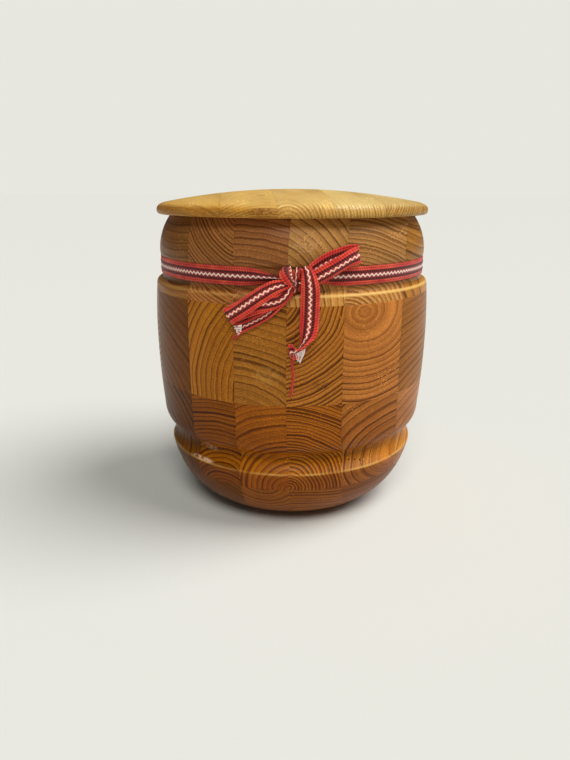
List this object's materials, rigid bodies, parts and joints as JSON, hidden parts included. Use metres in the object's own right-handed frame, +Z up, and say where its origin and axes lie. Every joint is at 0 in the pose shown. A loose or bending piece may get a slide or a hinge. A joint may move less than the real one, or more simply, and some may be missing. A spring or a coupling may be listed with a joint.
{
  "type": "lidded wooden storage jar",
  "caption": "Barrel-shaped storage jar turned from a glued stack of softwood boards, with a lift-off domed lid and a woven ribbon tied in a bow round its neck.",
  "frame": {"origin": "centre of the flat base that the jar stands on, on the lathe axis", "axes": "+Z up along the lathe axis, +Y towards the back, the grain of the jar's boards runs along Y and the boards stand side by side along X; the bow is at the front, 12 degrees to the right of -Y"},
  "size_m": [0.2264, 0.2328, 0.2588],
  "materials": {
    "jar_wood": "stained and lacquered pine, satin",
    "lid_wood": "paler lacquered pine, satin",
    "ribbon": "woven cotton band, red edges, near-black lines and a pale zigzag"
  },
  "bodies": {
    "jar": {"base_board_1": "jar_wood", "base_board_2": "jar_wood", "base_board_3": "jar_wood", "base_board_4": "jar_wood", "base_board_5": "jar_wood", "base_board_6": "jar_wood", "base_board_7": "jar_wood", "lower_board_1": "jar_wood", "lower_board_2": "jar_wood", "lower_board_3_front": "jar_wood", "lower_board_3_back": "jar_wood", "lower_board_4_front": "jar_wood", "lower_board_4_back": "jar_wood", "lower_board_5_front": "jar_wood", "lower_board_5_back": "jar_wood", "lower_board_6": "jar_wood", "lower_board_7": "jar_wood", "middle_board_1": "jar_wood", "middle_board_2": "jar_wood", "middle_board_3_front": "jar_wood", "middle_board_3_back": "jar_wood", "middle_board_4_front": "jar_wood", "middle_board_4_back": "jar_wood", "middle_board_5_front": "jar_wood", "middle_board_5_back": "jar_wood", "middle_board_6": "jar_wood", "middle_board_7": "jar_wood", "upper_board_1": "jar_wood", "upper_board_2": "jar_wood", "upper_board_3_front": "jar_wood", "upper_board_3_back": "jar_wood", "upper_board_4_front": "jar_wood", "upper_board_4_back": "jar_wood", "upper_board_5_front": "jar_wood", "upper_board_5_back": "jar_wood", "upper_board_6": "jar_wood", "upper_board_7": "jar_wood", "ribbon": "ribbon"},
    "lid": {"lid_board_1": "lid_wood", "lid_board_2": "lid_wood", "lid_board_3": "lid_wood", "lid_board_4": "lid_wood", "lid_board_5": "lid_wood", "lid_board_6": "lid_wood", "lid_board_7": "lid_wood"}
  },
  "joints": [
    {"name": "lid_lift", "type": "slide", "parent": "jar", "child": "lid", "axis": [0, 0, 1], "range_m": [0, 0.3]}
  ]
}
